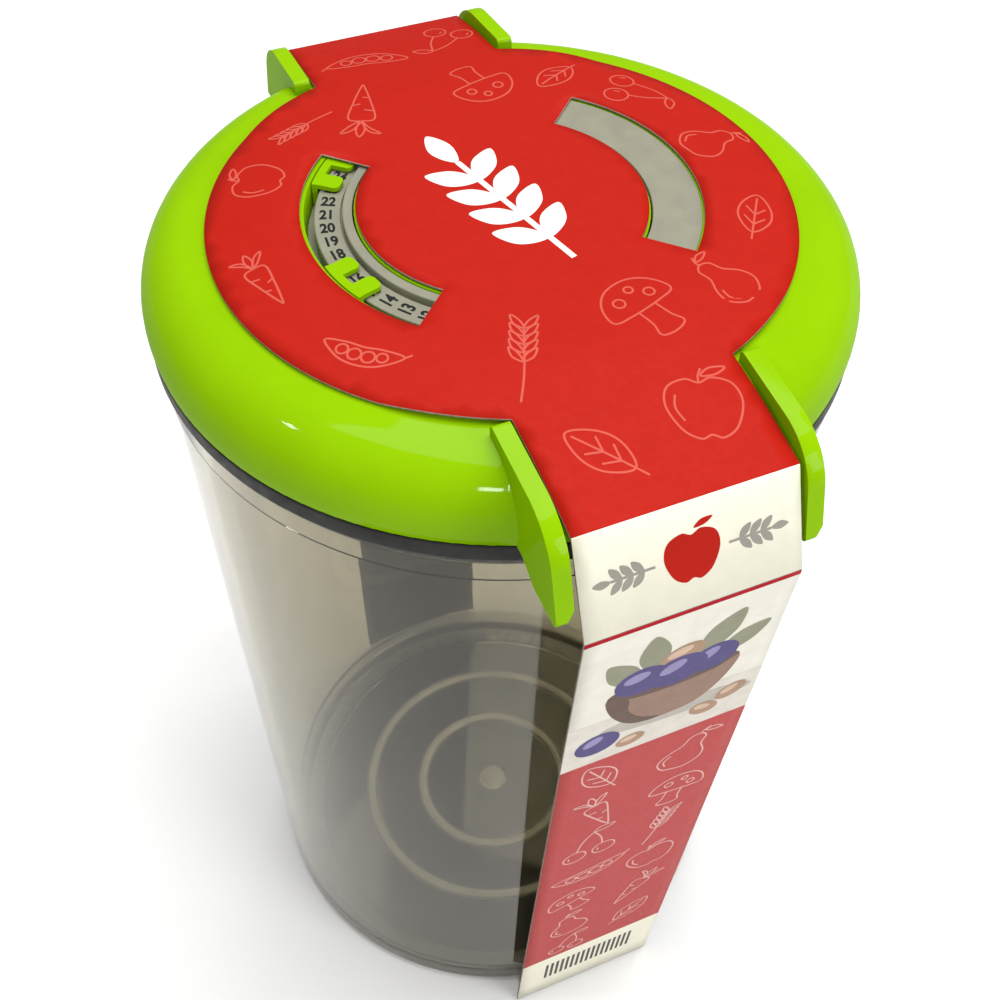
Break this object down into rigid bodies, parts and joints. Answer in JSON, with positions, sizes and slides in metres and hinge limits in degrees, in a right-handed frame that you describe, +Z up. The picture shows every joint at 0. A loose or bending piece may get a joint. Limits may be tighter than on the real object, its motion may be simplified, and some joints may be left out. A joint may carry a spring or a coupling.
{
  "type": "vacuum food canister",
  "caption": "Round clear food canister with a press-on vacuum lid, release valve, date dial with sliding markers, grip fins and a lift-off card sleeve.",
  "frame": {"origin": "centre of the base, on the surface that the canister stands on", "axes": "+Z up along the canister's axis, Y along the card sleeve with -Y its front panel, X across the sleeve"},
  "size_m": [0.119, 0.1416, 0.1939],
  "materials": {
    "clear_plastic": "clear, slightly smoky, polished",
    "lid_green": "glossy lime green moulding",
    "liner_plastic": "satin pale grey moulding",
    "gasket_rubber": "dark grey silicone, satin",
    "valve_silicone": "grey silicone, satin",
    "dial_grey": "fine matt grey with printed numbers",
    "plate_grey": "fine matt grey, bare",
    "slider_green": "glossy lime green",
    "sleeve_card": "coated printed card, red and ivory, white cut edges"
  },
  "bodies": {
    "container": {"container_body": "clear_plastic"},
    "lid": {"lid_shell": "lid_green", "lid_liner": "liner_plastic", "lid_gasket": "gasket_rubber", "date_ring": "dial_grey", "blank_plate": "plate_grey"},
    "sealed_day_marker": {"sealed_day_slider": "slider_green"},
    "use_by_marker": {"use_by_slider": "slider_green"},
    "valve": {"valve_plug": "valve_silicone"},
    "sleeve": {"sleeve_top": "sleeve_card"},
    "front_panel": {"sleeve_front": "sleeve_card"},
    "back_panel": {"sleeve_back": "sleeve_card"}
  },
  "joints": [
    {"name": "lid_lift", "type": "slide", "parent": "container", "child": "lid", "axis": [0, 0, 1], "range_m": [0, 0.08]},
    {"name": "sealed_day_turn", "type": "hinge", "parent": "lid", "child": "sealed_day_marker", "pos_m": [0, 0, 0.19], "axis": [0, 0, 1], "range_deg": [-17.4, 107.5]},
    {"name": "use_by_turn", "type": "hinge", "parent": "lid", "child": "use_by_marker", "pos_m": [0, 0, 0.19], "axis": [0, 0, 1], "range_deg": [-83, 17.4]},
    {"name": "valve_lift", "type": "slide", "parent": "lid", "child": "valve", "axis": [0, 0, 1], "range_m": [0, 0.002]},
    {"name": "sleeve_lift", "type": "slide", "parent": "lid", "child": "sleeve", "axis": [0, 0, 1], "range_m": [0, 0.2]},
    {"name": "front_fold", "type": "hinge", "parent": "sleeve", "child": "front_panel", "pos_m": [0, -0.0708, 0.17299], "axis": [-1, 0, 0], "range_deg": [0, 8.1]},
    {"name": "back_fold", "type": "hinge", "parent": "sleeve", "child": "back_panel", "pos_m": [0, 0.0708, 0.17299], "axis": [1, 0, 0], "range_deg": [0, 8.1]}
  ],
  "couplings": [
    {"joint": "front_fold", "follows": "sleeve_lift", "rad_per_m": 0.69813},
    {"joint": "back_fold", "follows": "sleeve_lift", "rad_per_m": 0.69813}
  ]
}
